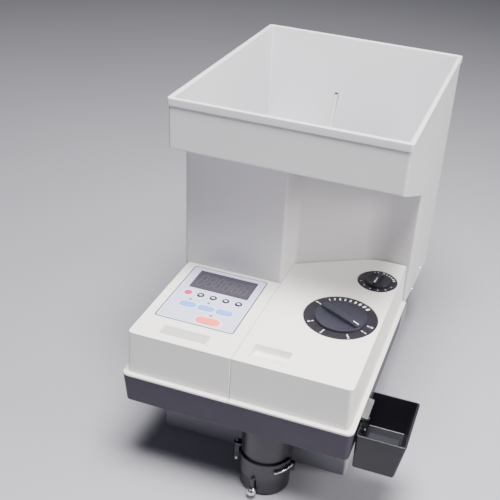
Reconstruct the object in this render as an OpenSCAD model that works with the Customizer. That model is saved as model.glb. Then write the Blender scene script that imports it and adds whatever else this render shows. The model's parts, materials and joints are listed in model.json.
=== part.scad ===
// Heavy-duty coin counter: hopper tower, control cover, lift-off lid with two setting dials,
// coin disc and belt path, bag spout and reject box.
// Origin: centre of the base's four stand bolts, on the underside. +X right, +Y back, +Z up. Millimetres.

/* [Case] */
// Width over the walls of the front covers
case_w = 350; // [350:1:352]
// Distance from the origin to the covers' front wall
front = 300; // [299:1:301]
// Distance from the origin to the rear wall
rear = 300; // [300:1:301]
// Height of the dark base pan
pan_h = 52; // [51:1:52]
// Height of the top face of the front covers
cover_top = 128; // [128:1:129]
// Wall thickness of the mouldings
wall = 3; // [2.5:0.5:3]
// How far the covers' bottom lip stands out
lip = 7; // [5:1:7]
// X of the seam between control cover and lid
seam_x = -9; // [-10:1:-8]
// Gap between covers
gap = 0.4; // [0.3:0.1:0.5]

/* [Tower] */
// Front face of the tower's left block, behind the origin
block_y = -80; // [-82:1:-80]
// Half width of the tower and of the hopper
tower_hw = 180; // [179:1:180]
// Height of the hopper rim
hopper_top = 436; // [430:1:440]
// Height of the bottom edge of the hopper's front wall
hopper_low = 357; // [355:1:358]
// Height of the hopper rim's band
rim_h = 12; // [10:1:14]

/* [Dials] */
// Radius of the diameter scale plate
dia_plate_r = 58; // [57:0.5:58]
// Radius of the thickness scale plate
thk_plate_r = 33; // [32:0.5:33]

/* [Coin path] */
// Radius of the coin disc
disc_r = 110; // [108:1:110]
// Height of the coin path's surface
path_z = 76; // [75:1:76]
// X of the coin path's centre line, above the bag spout
path_x = 40; // [39:1:40]

/* [Bag spout] */
// Outer radius of the spout
spout_r = 40; // [39:1:40]
// Depth of the spout's mouth below the base
spout_drop = 130; // [120:1:132]

/* [Hidden] */
$fn = 64;
lean = 0.44;                      // fall of the hopper floor per millimetre of depth
hop_front = -141;                 // front wall of the hopper, outside
lid_back = 63;                    // rear edge of the lid
recess_y = 66;                    // straight back wall of the recess above the lid
recess_x = 115;                   // where the slanting recess wall turns straight
slant = 31.2;                     // angle of the slanting part of that wall
turn_x = recess_x + 70 * tan(slant / 2);
foot_h = 12;                      // height of the rubber feet
foot_x = 140;
foot_front = -170;
foot_rear = 262;
stand_x = 150;                    // stand bolts, half spacings
stand_y = 150;
deck_z = 58;                      // underside of the deck plate
deck_t = 3;
disc_x = path_x + 22 - disc_r;    // the disc's rim is tangent to the path's right side
disc_y = 150;
dia_x = 108;                      // diameter dial axis
dia_y = -133;
thk_x = 137;                      // thickness dial axis
thk_y = -6;
bridge_z = 118;                   // underside of the bridge that carries the dials
plate_z = cover_top - 3.5;        // underside of the scale plates
spout_x = path_x;
spout_y = -252;
belt_r = 14;                      // belt pulley radius
belt_z = path_z + 5 + belt_r;
belt_y0 = -195;
belt_y1 = -45;
notch = 28.5;                     // half width of the coin passage through the recess walls
panel_x0 = -157.5;                // membrane panel
panel_x1 = -28;
panel_y0 = -243;
panel_y1 = -87;
panel_z = cover_top - 1;          // floor of the panel's recess
window = [-142, -150, -41, -97];  // display window: x0, y0, x1, y1
box_x0 = 182.4;                   // reject box
box_x1 = 257.5;
box_y0 = -288;
box_y1 = -182;
box_top = 42;
box_low = -24;
peg_y = [-222, -248];             // pegs that carry the reject box
inner_low = deck_z + deck_t + 0.5; // underside of walls that stand over the deck
rod_x = -0.5;                     // pivot of the level rod in the hopper
rod_lean = 5;                     // angle the rod leans to the right
rod_y = 78;
outlet = [-55, 170, 95, 272];     // hopper outlet: x0, y0, x1, y1
fit = 0.05;                       // radial running clearance

keys_round = [for (i = [0:4]) [-135 + i * 21.4, -166]];
keys_oval = [[-122, -196.5], [-91.5, -196.5], [-61, -196.5]];
key_start_at = [-75.5, -227];

// ---- shared shapes ----
module rounded(w, d, r) {
    square([w - 2 * r, d], center = true);
    square([w, d - 2 * r], center = true);
    for (x = [-1, 1], y = [-1, 1]) translate([x * (w / 2 - r), y * (d / 2 - r)]) circle(r);
}
module rounded_box(x0, y0, x1, y1, z0, z1, r) {
    translate([(x0 + x1) / 2, (y0 + y1) / 2, z0])
        linear_extrude(z1 - z0) rounded(x1 - x0, y1 - y0, r);
}
module box(x0, y0, z0, x1, y1, z1) { translate([x0, y0, z0]) cube([x1 - x0, y1 - y0, z1 - z0]); }
module rod(x, y, z0, z1, r) { translate([x, y, z0]) cylinder(r = r, h = z1 - z0); }
module cross_rod(x0, x1, y, z, r) { translate([x0, y, z]) rotate([0, 90, 0]) cylinder(r = r, h = x1 - x0); }
module oval(at, w, d, z0, z1) {
    translate([at[0], at[1], z0]) linear_extrude(z1 - z0) rounded(w, d, d / 2 - 0.01);
}

// ---- base ----
module pan_shape(inset, z0, z1) {
    hull() {
        rounded_box(-176 + inset, -297 + inset, 176 - inset, 295.5 - inset,
            z0, z0 + 0.01, 12 - inset);
        rounded_box(-176.7 + inset, -299.6 + inset, 176.7 - inset, 296.6 - inset,
            z1 - 0.01, z1, 12 - inset);
    }
    // wider in front of the tower, flush with the covers' lip
    for (part = [[-1, block_y - 2], [0, 60]]) hull() {
        rounded_box(part[0] * 178.5 + inset, -301.5 + inset, 178.5 - inset, part[1] - inset,
            z0, z0 + 0.01, 8 - inset);
        rounded_box(part[0] * 181 + inset, -306 + inset, 181 - inset, part[1] - inset,
            z1 - 0.01, z1, 8 - inset);
    }
}
module base_pan() color([0.24, 0.22, 0.27]) difference() {
    pan_shape(0, 0, pan_h);
    pan_shape(wall, wall, pan_h + 0.02);
    rod(spout_x, spout_y, -1, wall + 1, spout_r + 0.3);
    for (x = [-1, 1], y = [-1, 1]) rod(x * stand_x, y * stand_y, -1, wall + 1, 3.3);
    for (x = [-1, 1], y = [foot_front, foot_rear]) rod(x * foot_x, y, -1, wall + 1, 2.6);
    box(165, -260, 43.5, 190, -208, pan_h + 1);
    for (y = peg_y) cross_rod(168, 183, y, 20, 3);
    for (s = [-1, 1], y = [125, 205]) cross_rod(s * 175 - 5, s * 175 + 5, y, 46, 2.1);
}
module foot_pads() color([0.06, 0.06, 0.07]) for (x = [-1, 1], y = [foot_front, foot_rear])
    translate([x * foot_x, y, -foot_h]) difference() {
        union() {
            cylinder(r1 = 15, r2 = 17, h = foot_h - 2, $fn = 48);
            translate([0, 0, foot_h - 2.001]) cylinder(r = 14, h = 2.001);
        }
        translate([0, 0, -1]) cylinder(r = 6, h = 6);
        translate([0, 0, -2]) cylinder(r = 2.6, h = foot_h + 4);
    }
module foot_screws() color([0.75, 0.75, 0.77]) for (x = [-1, 1], y = [foot_front, foot_rear]) {
    rod(x * foot_x, y, 1.6 - foot_h, 5 - foot_h, 4.5);
    rod(x * foot_x, y, 5 - foot_h, wall + 5, 2.5);
    difference() {
        rod(x * foot_x, y, wall, wall + 3.5, 5);
        rod(x * foot_x, y, wall - 1, wall + 5, 2.5);
    }
}
module deck_posts() color([0.7, 0.7, 0.72])
    for (x = [-158, 158], y = [-280, 80, 280]) rod(x, y, wall, deck_z, 6);
module deck_plate() color([0.72, 0.73, 0.75]) difference() {
    rounded_box(-168, -290, 168, 290, deck_z, deck_z + deck_t, 8);
    rod(disc_x, disc_y, 50, 70, 14);
    rod(spout_x, spout_y, 50, 70, spout_r - 4);
    box(84, -260, 50, 155, -208, 70);
    rod(dia_x, dia_y, 50, 70, 4.5);
    rod(thk_x, thk_y, 50, 70, 4.5);
}

// ---- left control cover, panel and keys ----
module cover_outline(inset) {
    translate([(-case_w / 2 + seam_x - gap) / 2, (-front + block_y - gap) / 2])
        square([seam_x - gap + case_w / 2 - 2 * inset, block_y - gap + front - 2 * inset], center = true);
}
module control_cover() color([0.86, 0.85, 0.82]) difference() {
    union() {
        translate([0, 0, pan_h]) linear_extrude(cover_top - pan_h) cover_outline(0);
        box(-case_w / 2 - lip, -front - lip, pan_h, seam_x - gap, -front + 1, pan_h + 4);
        box(-case_w / 2 - lip, -front - lip, pan_h, -case_w / 2 + 1, block_y - gap, pan_h + 4);
    }
    translate([0, 0, pan_h - 1]) linear_extrude(cover_top - pan_h + 1 - wall) cover_outline(wall);
    box(-170, -292, pan_h - 1, 170, 290, inner_low);
    rounded_box(panel_x0, panel_y0, panel_x1, panel_y1, panel_z, cover_top + 1, 5);
    box(panel_x0 + 5, panel_y0 + 6, cover_top - 10, panel_x1 - 5, panel_y1 - 5, cover_top);
    rounded_box(-130, -281, -56, -260, cover_top - 0.6, cover_top + 1, 2);
}
module name_plate() color([0.66, 0.66, 0.63])
    rounded_box(-129.8, -280.8, -56.2, -260.2, cover_top - 0.6, cover_top + 0.2, 2);
module panel_overlay() color([0.66, 0.68, 0.82]) difference() {
    rounded_box(panel_x0 + 0.2, panel_y0 + 0.2, panel_x1 - 0.2, panel_y1 - 0.2,
        panel_z, cover_top + 0.3, 5);
    rounded_box(window[0], window[1], window[2], window[3], panel_z - 1, cover_top + 1, 1);
    for (k = keys_round) translate([k[0], k[1], panel_z - 1]) cylinder(r = 6.3, h = 4);
    for (k = keys_oval) oval(k, 27.6, 13.6, panel_z - 1, cover_top + 1);
    oval(key_start_at, 38.6, 16.6, panel_z - 1, cover_top + 1);
}
module display_window() color([0.22, 0.20, 0.26])
    rounded_box(window[0] + 0.1, window[1] + 0.1, window[2] - 0.1, window[3] - 0.1,
        panel_z - 1.6, cover_top + 0.1, 1);
module control_board() color([0.10, 0.35, 0.20]) {
    box(-162, -240, cover_top - 14, -20, -90, cover_top - 12.4);
    for (x = [-157, -25], y = [-236, -94]) rod(x, y, cover_top - 12.4, cover_top - wall, 3);
    box(window[0] + 2, window[1] + 2, cover_top - 12.5, window[2] - 2, window[3] - 2, panel_z - 1.8);
}
module key_cap(r, at) color([0.12, 0.11, 0.18]) {
    rod(at[0], at[1], panel_z - 0.2, cover_top + 1.1, r);
    rod(at[0], at[1], cover_top - 9, panel_z - 0.2, 2);
}
module key_pill(at, w, d) {
    oval(at, w, d, panel_z - 0.2, cover_top + 1.1);
    rod(at[0], at[1], cover_top - 9, panel_z - 0.2, 2);
}
module key_reset() color([0.75, 0.25, 0.35]) key_cap(6, keys_round[0]);
module key_set_1() key_cap(6, keys_round[1]);
module key_set_2() key_cap(6, keys_round[2]);
module key_set_3() key_cap(6, keys_round[3]);
module key_set_4() key_cap(6, keys_round[4]);
module key_mode_left() color([0.45, 0.58, 0.85]) key_pill(keys_oval[0], 27, 13);
module key_mode_middle() color([0.45, 0.58, 0.85]) key_pill(keys_oval[1], 27, 13);
module key_mode_right() color([0.45, 0.58, 0.85]) key_pill(keys_oval[2], 27, 13);
module key_start() color([0.92, 0.45, 0.36]) key_pill(key_start_at, 38, 16);

// Plan of the recess wall from right to left, moved forwards by off
function recess_line(off, x1, x0) = concat([[x1, recess_y - off]],
    [for (i = [0:6]) [turn_x + (70 - off) * cos(90 + i * slant / 6),
        recess_y - 70 + (70 - off) * sin(90 + i * slant / 6)]],
    [[x0, recess_y + (x0 - recess_x) * tan(slant) - off / cos(slant)]]);

// ---- lift-off lid ----
module lid_outline(inset) {
    polygon(concat([[seam_x + gap + inset, -front + inset], [case_w / 2 - inset, -front + inset]],
        [for (p = recess_line(3 + inset, case_w / 2 - inset, seam_x + gap + inset)) p]));
}
module lid() color([0.88, 0.87, 0.84]) difference() {
    union() {
        difference() {
            union() {
                translate([0, 0, pan_h + 0.2]) linear_extrude(cover_top - pan_h - 0.2) lid_outline(0);
                box(seam_x + gap, -front - lip, pan_h + 0.2, case_w / 2 + lip, -front + 1, pan_h + 4);
                box(case_w / 2 - 1, -front - lip, pan_h + 0.2, case_w / 2 + lip, lid_back, pan_h + 4);
            }
            box(-170, -292, pan_h - 1, 170, 290, inner_low);
            translate([0, 0, pan_h - 1]) linear_extrude(cover_top - pan_h + 1 - wall) lid_outline(wall);
        }
        rounded_box(8, -284, 71, -246, cover_top - 17, cover_top - 1, 5);
    }
    rod(dia_x, dia_y, 100, 140, dia_plate_r + 1);
    rod(thk_x, thk_y, 100, 140, thk_plate_r + 1);
    box(path_x - notch, -30, pan_h - 1, path_x + notch, 60, path_z + 10);
    finger_scoop();
}
module finger_scoop() hull() {
    rounded_box(11, -280, 68, -279, cover_top - 2, cover_top + 2, 0.4);
    rounded_box(11, -258, 68, -250, cover_top - 13, cover_top + 2, 3);
}

// ---- dials ----
module dial_bridge() color([0.5, 0.5, 0.52]) difference() {
    union() {
        box(80, -202, bridge_z, 168, 34, bridge_z + 2.5);
        for (x = [88, 162], y = [-194, 30]) rod(x, y, deck_z + deck_t, bridge_z, 4);
    }
    rod(dia_x, dia_y, 110, 130, 6 + fit);
    rod(thk_x, thk_y, 110, 130, 5 + fit);
}
module diameter_scale() color([0.12, 0.11, 0.14]) difference() {
    rod(dia_x, dia_y, bridge_z + 2.5, cover_top - 0.2, dia_plate_r);
    rod(dia_x, dia_y, 110, 140, 6 + fit);
}
module thickness_scale() color([0.12, 0.11, 0.14]) difference() {
    rod(thk_x, thk_y, bridge_z + 2.5, cover_top - 0.2, thk_plate_r);
    rod(thk_x, thk_y, 110, 140, 5 + fit);
}
module knob(r, h, bar_l, bar_w, bore) {
    difference() {
        union() {
            difference() {
                cylinder(r = r, h = h * 0.45);
                translate([0, 0, h * 0.15]) cylinder(r = r - 4, h = h);
            }
            translate([-bar_l / 2, -bar_w / 2, 0]) cube([bar_l, bar_w, h]);
        }
        translate([0, 0, -1]) cylinder(r = bore, h = h * 0.6 + 1);
    }
}
module diameter_knob() color([0.13, 0.13, 0.19])
    translate([dia_x, dia_y, cover_top + 0.3]) rotate(-28) knob(41, 7, 79, 15, 4);
module diameter_shaft() color([0.75, 0.75, 0.77]) {
    rod(dia_x, dia_y, deck_z - 4, bridge_z - 8, 4);
    rod(dia_x, dia_y, bridge_z - 8, cover_top, 6);
    rod(dia_x, dia_y, cover_top, cover_top + 4, 4);
}
module thickness_knob() color([0.10, 0.10, 0.13])
    translate([thk_x, thk_y, cover_top + 0.3]) rotate(-96) knob(21, 8, 40, 8, 3);
module thickness_shaft() color([0.75, 0.75, 0.77]) {
    rod(thk_x, thk_y, deck_z - 4, bridge_z - 8, 4);
    rod(thk_x, thk_y, bridge_z - 8, cover_top, 5);
    rod(thk_x, thk_y, cover_top, cover_top + 4, 3);
}

// ---- coin path ----
module path_bed() color([0.78, 0.78, 0.8]) difference() {
    box(path_x - 27, -215, deck_z + deck_t, path_x + 27, 90, path_z);
    rod(disc_x, disc_y, 50, 100, disc_r + 1);
    box(path_x - 23, -215.1, deck_z + deck_t - 1, path_x + 23, 91, path_z - 4);
    box(path_x + 7, -206, 60, path_x + 19, -120, path_z + 1);
}
module guide_rail() color([0.7, 0.7, 0.72]) {
    box(path_x + 22.5, -215, path_z + 0.3, path_x + 30, 12, path_z + 5);
    box(path_x + 30, dia_y + 4.35, path_z + 1, dia_x + 14, dia_y + 10, path_z + 5);
}
module thickness_gate() color([0.7, 0.7, 0.72]) difference() {
    union() {
        box(path_x - 17, -14, path_z + 4, path_x + 12, -6, path_z + 20);
        box(path_x + 11, -10, path_z + 12, thk_x - 8, -4, path_z + 16);
        box(thk_x - 9, -15, path_z + 12, thk_x + 9, 3, path_z + 16);
    }
    rod(thk_x, thk_y, 80, 100, 4 + fit);
}
module coin_disc() color([0.8, 0.8, 0.82]) difference() {
    union() {
        rod(disc_x, disc_y, path_z - 6, path_z, disc_r);
        translate([disc_x, disc_y, path_z]) cylinder(r1 = 30, r2 = 14, h = 8);
    }
    rod(disc_x, disc_y, path_z - 7, path_z + 3, 8.02);
}
module disc_shaft() color([0.75, 0.75, 0.77]) rod(disc_x, disc_y, 31, path_z + 2.9, 8);
module disc_guard() color([0.8, 0.8, 0.82]) difference() {
    rod(disc_x, disc_y, deck_z + deck_t, path_z + 30, disc_r + 4.5);
    rod(disc_x, disc_y, deck_z, path_z + 31, disc_r + 1.5);
    box(path_x - 28, -20, deck_z, 90, 130, path_z + 31);
}
module disc_motor() color([0.35, 0.36, 0.38]) difference() {
    union() {
        rod(disc_x, disc_y, wall, 46, 38);
        box(disc_x - 45, disc_y - 45, wall, disc_x + 45, disc_y + 45, wall + 6);
    }
    rod(disc_x, disc_y, 30, 47, 8 + fit);
}
module belt_frame() color([0.5, 0.5, 0.52]) difference() {
    union() {
        box(path_x - 16, belt_y0 - 8, path_z + 8, path_x - 12, belt_y1 + 10, belt_z + 16);
        for (y = [belt_y0 + 35, belt_y1 - 60]) {
            box(path_x - 34, y, deck_z + deck_t, path_x - 29, y + 16, belt_z + 12);
            box(path_x - 34, y, belt_z + 4, path_x - 14, y + 16, belt_z + 12);
        }
    }
    for (y = [belt_y0, belt_y1]) cross_rod(path_x - 20, path_x - 10, y, belt_z, 3 + fit);
}
module belt_pulley(y) color([0.2, 0.2, 0.22]) {
    cross_rod(path_x - 10, path_x + 10, y, belt_z, belt_r - 2.1);
    cross_rod(path_x - 17, path_x - 10, y, belt_z, 3);
}
module belt_pulley_front() belt_pulley(belt_y0);
module belt_pulley_rear() belt_pulley(belt_y1);
module belt_loop(r, w) {
    for (y = [belt_y0, belt_y1]) cross_rod(path_x - w / 2, path_x + w / 2, y, belt_z, r);
    box(path_x - w / 2, belt_y0, belt_z - r, path_x + w / 2, belt_y1, belt_z + r);
}
module feed_belt() color([0.25, 0.45, 0.30]) difference() {
    belt_loop(belt_r, 16);
    belt_loop(belt_r - 1.8, 18);
}
module count_sensor() color([0.1, 0.1, 0.12]) difference() {
    box(path_x - 25, -183, path_z, path_x - 18, -171, path_z + 22);
    cross_rod(path_x - 30, path_x - 10, -177, path_z + 14, 2);
}
module stop_solenoid() color([0.3, 0.5, 0.75]) difference() {
    box(path_x - 44, -213, deck_z + deck_t, path_x - 28, -187, path_z + 12);
    cross_rod(path_x - 50, path_x - 20, -200, path_z + 4.5, 4 + fit);
}
module stop_plunger() color([0.75, 0.75, 0.77]) cross_rod(path_x - 42, path_x - 24.5, -200, path_z + 4.5, 4);
module exit_chute() color([0.7, 0.7, 0.72]) difference() {
    union() {
        box(path_x - 38, -289, deck_z + deck_t, path_x + 38, -216, path_z - 4);
        rod(spout_x, spout_y, 18, deck_z + deck_t + 0.5, spout_r - 4.6);
    }
    rod(spout_x, spout_y, 0, 100, spout_r - 7.5);
    box(path_x - 24, -252, path_z - 11, path_x + 24, -210, 100);
}
// ---- bag spout ----
pin_x = spout_x - spout_r - 8;
pin_y = spout_y - 4;
module spout_tube() color([0.11, 0.11, 0.15]) difference() {
    union() {
        rod(spout_x, spout_y, -spout_drop, wall + 8, spout_r);
        rod(spout_x, spout_y, wall, wall + 3, spout_r + 7);
        for (z = [-93, -71]) {
            rod(pin_x, pin_y, z, z + 6, 6);
            box(pin_x, pin_y - 6, z, pin_x + 16, pin_y + 6, z + 6);
        }
        box(spout_x + spout_r - 4, spout_y - 8, -92, spout_x + spout_r + 8, spout_y + 4, -80);
    }
    rod(spout_x, spout_y, -spout_drop - 1, wall + 9, spout_r - 3);
    rod(pin_x, pin_y, -110, -50, 2.5);
    box(spout_x - 60, -310, wall - 0.5, spout_x + 60, -293, wall + 20);
}
module clamp_arm() color([0.10, 0.10, 0.13]) difference() {
    union() {
        difference() {
            rod(spout_x, spout_y, -98, -64, spout_r + 4);
            box(-60, spout_y - 9, -110, 130, spout_y + 70, -50);
            box(-60, spout_y - 24, -100, spout_x - 34, spout_y + 10, -86.4);
            box(-60, spout_y - 24, -71.6, spout_x - 34, spout_y + 10, -60);
        }
        rod(pin_x, pin_y, -86.4, -71.6, 6);
        box(pin_x, pin_y - 6, -86.4, spout_x - spout_r + 1, pin_y, -71.6);
        rod(spout_x - 6, spout_y - spout_r - 5, -112, -92, 3.5);
    }
    rod(pin_x, pin_y, -110, -50, 2.5 + fit);
    rod(spout_x, spout_y, -100, -60, spout_r + 0.6);
    rod(spout_x, spout_y, -120, -99, spout_r - 3);
}
module clamp_knob() color([0.85, 0.85, 0.86]) difference() {
    translate([spout_x - 6, spout_y - spout_r - 8, -118]) sphere(7.6);
    rod(spout_x - 6, spout_y - spout_r - 5, -112.02, -100, 3.52);
}
module clamp_pin() color([0.85, 0.85, 0.86]) {
    rod(pin_x, pin_y, -97, -62, 2.48);
    rod(pin_x, pin_y, -102, -96, 4.2);
}
module clamp_wire() color([0.85, 0.85, 0.86]) translate([spout_x, spout_y, -76]) rotate(-56)
    rotate_extrude(angle = 44, $fn = 96) translate([spout_r + 6.3, 0]) circle(2.3);

// ---- reject box ----
module chute_side(low, high) {
    rotate([90, 0, 0]) linear_extrude(46.4)
        polygon([[90, 56 + low], [191, 45.9 + low], [191, 45.9 + high], [90, 56 + high]]);
}
module reject_chute() color([0.3, 0.3, 0.33]) translate([0, -210.8, 0]) difference() {
    chute_side(-1, 4);
    translate([0, -1.2, 0.3]) scale([1, 44 / 46.4, 1]) chute_side(0, 6);
}
module box_shape(inset, z0, z1) hull() {
    rounded_box(box_x0 + inset, box_y0 + 3 + inset, box_x1 - 11.5 - inset, box_y1 - 3 - inset,
        z0, z0 + 0.01, 4);
    rounded_box(box_x0 + inset, box_y0 + inset, box_x1 - inset, box_y1 - inset, z1 - 0.01, z1, 4);
}
module reject_box() color([0.09, 0.09, 0.13]) {
    difference() {
        union() {
            difference() {
                box_shape(0, box_low, box_top);
                box_shape(2.5, box_low + 2.5, box_top + 0.02);
            }
            for (y = peg_y) cross_rod(box_x0 + 0.2, box_x0 + 6, y, 20, 6);
        }
        for (y = peg_y) cross_rod(box_x0 - 1, box_x0 + 7, y, 20, 3 + fit);
    }
    box(199, box_y0 + 2, box_low + 1, 245, box_y0 + 18, box_top - 3);
}
module box_pegs() color([0.75, 0.75, 0.77]) for (y = peg_y) {
    cross_rod(167, box_x0 + 7, y, 20, 2.99);
    cross_rod(171, 176, y, 20, 6);
    cross_rod(180.2, 182.2, y, 20, 7);
}

// ---- tower and hopper ----
module tower_outline(inset) {
    polygon(concat([[-tower_hw + inset, block_y + inset], [seam_x - inset, block_y + inset]],
        [for (i = [8:-1:0]) recess_line(-inset, tower_hw - inset, seam_x - inset)[i]],
        [[tower_hw - inset, rear - inset], [-tower_hw + inset, rear - inset]]));
}
module hopper_side(inset, top) {
    // side profile, drawn as (y, z); the underside falls towards the rear
    polygon([[hop_front + inset, hopper_low + 1.1 * inset], [166, hopper_low - lean * 307 + 1.1 * inset],
        [rear - inset, hopper_low - lean * 307 + 1.1 * inset],
        [rear - inset, top], [hop_front + inset, top]]);
}
module across(hw) { rotate([90, 0, 90]) translate([0, 0, -hw]) linear_extrude(2 * hw) children(); }
module tower_housing() color([0.80, 0.79, 0.80]) difference() {
    union() {
        translate([0, 0, 1]) linear_extrude(hopper_top - rim_h - 6) tower_outline(0);
        across(tower_hw) hopper_side(0, hopper_top - rim_h - 0.1);
    }
    linear_extrude(450) tower_outline(wall);
    across(tower_hw - wall) hopper_side(wall, 500);
    across(tower_hw + 5)
        polygon([[lid_back + 2, pan_h], [rear + 5, 8], [rear + 5, -5], [-150, -5], [-150, pan_h]]);
    box(-170, -90, 40, 170, 290, inner_low);
    box(path_x - notch, -20, 40, path_x + notch, 60, path_z + 10);
    box(-120.2, rear - 8, 69.8, 120.2, rear + 5, 200.2);
    for (s = [-1, 1], y = [125, 205]) cross_rod(s * tower_hw - 8, s * tower_hw + 8, y, 46, 2.1);
}
module bin_shape(inset, up) {
    // walls and sloping floors of the bin; up lifts the floors by the wall's thickness
    hull() {
        box(-176.7 + inset, -137.7 + inset, hopper_low + 6 + up, 176.7 - inset, -137.6 + inset, hopper_top);
        box(-176.7 + inset, 296.7 - inset, 250 + up, 176.7 - inset, 296.8 - inset, hopper_top);
    }
    hull() {
        box(-176.7 + inset, -137.7 + inset, hopper_low + 6 + up,
            176.7 - inset, -137.6 + inset, hopper_low + 8 + up);
        box(-176.7 + inset, 296.7 - inset, 250 + up, 176.7 - inset, 296.8 - inset, 252 + up);
        box(outlet[0] - 3 + inset, outlet[1] - 3 + inset, 231,
            outlet[2] + 3 - inset, outlet[3] + 3 - inset, 232 + up);
    }
}
module hopper_bin() color([0.80, 0.79, 0.80]) difference() {
    union() {
        bin_shape(0, 0);
        rounded_box(-tower_hw - 1.8, hop_front - 3.5, tower_hw + 1.8, rear + 3.5,
            hopper_top - rim_h, hopper_top, 3);
    }
    translate([0, 0, 0.01]) bin_shape(3, 3.2);
    box(-173.7, -134.7, hopper_top - rim_h - 1, 173.7, 293.7, hopper_top + 1);
    box(outlet[0], outlet[1], 225, outlet[2], outlet[3], 240);
    box(rod_x - 7, rod_y - 24, 220, rod_x + 12, rod_y + 24, 330);
}
module drop_chute() color([0.72, 0.73, 0.75]) difference() {
    hull() {
        box(outlet[0] - 6, outlet[1] - 6, 227, outlet[2] + 6, outlet[3] + 6, 230.8);
        box(disc_x - 50, 110, path_z + 33, disc_x + 50, 210, path_z + 35);
    }
    hull() {
        box(outlet[0] - 4, outlet[1] - 4, 227, outlet[2] + 4, outlet[3] + 4, 231);
        box(disc_x - 48, 112, path_z + 32.9, disc_x + 48, 208, path_z + 35);
    }
}
module rod_bracket() color([0.7, 0.7, 0.72]) difference() {
    union() {
        box(-176.8, rod_y - 8.5, 226, 176.8, rod_y + 10, 229);
        for (s = [-1, 1]) box(rod_x + s * 9.5 - 2, rod_y - 8, 229, rod_x + s * 9.5 + 2, rod_y + 8, 250);
    }
    cross_rod(rod_x - 15, rod_x + 15, rod_y, 241, 2.5 + fit);
}
module level_rod() color([0.85, 0.84, 0.80]) {
    translate([rod_x, rod_y, 241]) rotate([0, rod_lean, 0]) {
        cylinder(r = 3.5, h = 165);
        translate([0, 0, 157]) cylinder(r = 4.2, h = 10);
    }
    cross_rod(rod_x - 6, rod_x + 6, rod_y, 241, 7);
    cross_rod(rod_x - 12, rod_x + 12, rod_y, 241, 2.5);
}

// ---- rear ----
module rear_panel() color([0.6, 0.6, 0.62]) difference() {
    box(-120, rear - 3, 70, 120, rear, 200);
    for (i = [0:8]) box(-100 + i * 9, rear - 5, 130, -96 + i * 9, rear + 2, 185);
    box(40, rear - 5, 84, 68, rear + 2, 106);
    box(76, rear - 5, 86, 97, rear + 2, 104);
}
module power_inlet() color([0.07, 0.07, 0.08]) {
    difference() {
        union() {
            box(40.2, rear - 24, 84.2, 67.8, rear, 105.8);
            box(37, rear, 81, 71, rear + 2.5, 109);
        }
        box(43, rear - 18, 87, 65, rear + 3, 103);
    }
    for (x = [47, 54, 61]) box(x - 1, rear - 20, 93, x + 1, rear - 4, 97);
}
module power_switch() color([0.08, 0.08, 0.09]) {
    cross_rod(77, 96, rear - 2, 95, 3);
    difference() {
        cross_rod(77, 96, rear - 2, 95, 7.8);
        box(70, rear - 20, 80, 100, rear - 2, 110);
    }
}
module power_supply() color([0.35, 0.36, 0.38]) {
    box(40, 140, wall, 130, 230, wall + 4);
    box(48, 150, wall + 4, 122, 220, 46);
}
module case_screws() color([0.85, 0.85, 0.86]) for (s = [-1, 1], y = [125, 205]) {
    cross_rod(min(s * tower_hw, s * (tower_hw + 3)), max(s * tower_hw, s * (tower_hw + 3)), y, 46, 4.2);
    cross_rod(min(s * (tower_hw - 9), s * tower_hw), max(s * (tower_hw - 9), s * tower_hw), y, 46, 2);
}

base_pan();
foot_pads();
foot_screws();
deck_posts();
deck_plate();
control_cover();
name_plate();
panel_overlay();
display_window();
control_board();
key_reset();
key_set_1();
key_set_2();
key_set_3();
key_set_4();
key_mode_left();
key_mode_middle();
key_mode_right();
key_start();
lid();
dial_bridge();
diameter_scale();
diameter_knob();
diameter_shaft();
thickness_scale();
thickness_knob();
thickness_shaft();
guide_rail();
path_bed();
thickness_gate();
coin_disc();
disc_shaft();
disc_guard();
disc_motor();
belt_frame();
belt_pulley_front();
belt_pulley_rear();
feed_belt();
count_sensor();
stop_solenoid();
stop_plunger();
exit_chute();
spout_tube();
clamp_arm();
clamp_knob();
clamp_pin();
clamp_wire();
reject_chute();
box_pegs();
reject_box();
tower_housing();
hopper_bin();
drop_chute();
rod_bracket();
level_rod();
rear_panel();
power_inlet();
power_switch();
power_supply();
case_screws();
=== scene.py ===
import json
import math

import bmesh
import bpy
from mathutils import Matrix, Vector


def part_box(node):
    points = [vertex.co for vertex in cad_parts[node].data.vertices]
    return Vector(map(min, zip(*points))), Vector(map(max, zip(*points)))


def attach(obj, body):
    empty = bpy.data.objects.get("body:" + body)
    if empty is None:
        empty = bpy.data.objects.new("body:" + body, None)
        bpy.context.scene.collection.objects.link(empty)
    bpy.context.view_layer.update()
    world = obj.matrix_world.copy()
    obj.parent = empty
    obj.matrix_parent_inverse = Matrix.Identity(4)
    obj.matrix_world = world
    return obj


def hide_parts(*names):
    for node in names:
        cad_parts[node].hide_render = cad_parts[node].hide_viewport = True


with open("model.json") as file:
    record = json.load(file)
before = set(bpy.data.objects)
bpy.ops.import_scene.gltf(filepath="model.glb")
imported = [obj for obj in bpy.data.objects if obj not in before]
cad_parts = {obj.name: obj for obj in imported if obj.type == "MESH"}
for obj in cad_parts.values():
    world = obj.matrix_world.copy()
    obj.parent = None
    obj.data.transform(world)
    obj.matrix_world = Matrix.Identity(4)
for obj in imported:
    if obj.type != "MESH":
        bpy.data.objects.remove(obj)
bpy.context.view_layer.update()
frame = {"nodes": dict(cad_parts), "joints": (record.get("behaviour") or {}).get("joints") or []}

# ---- Base pan ----
# The dark tray that the machine stands on: a structural-foam moulding in purple-grey with a
# fine spark-eroded texture, flush with the covers' lip. The tower is screwed to its sides.
MM = 0.001
RIGHT_ANGLE = math.pi / 2


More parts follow.
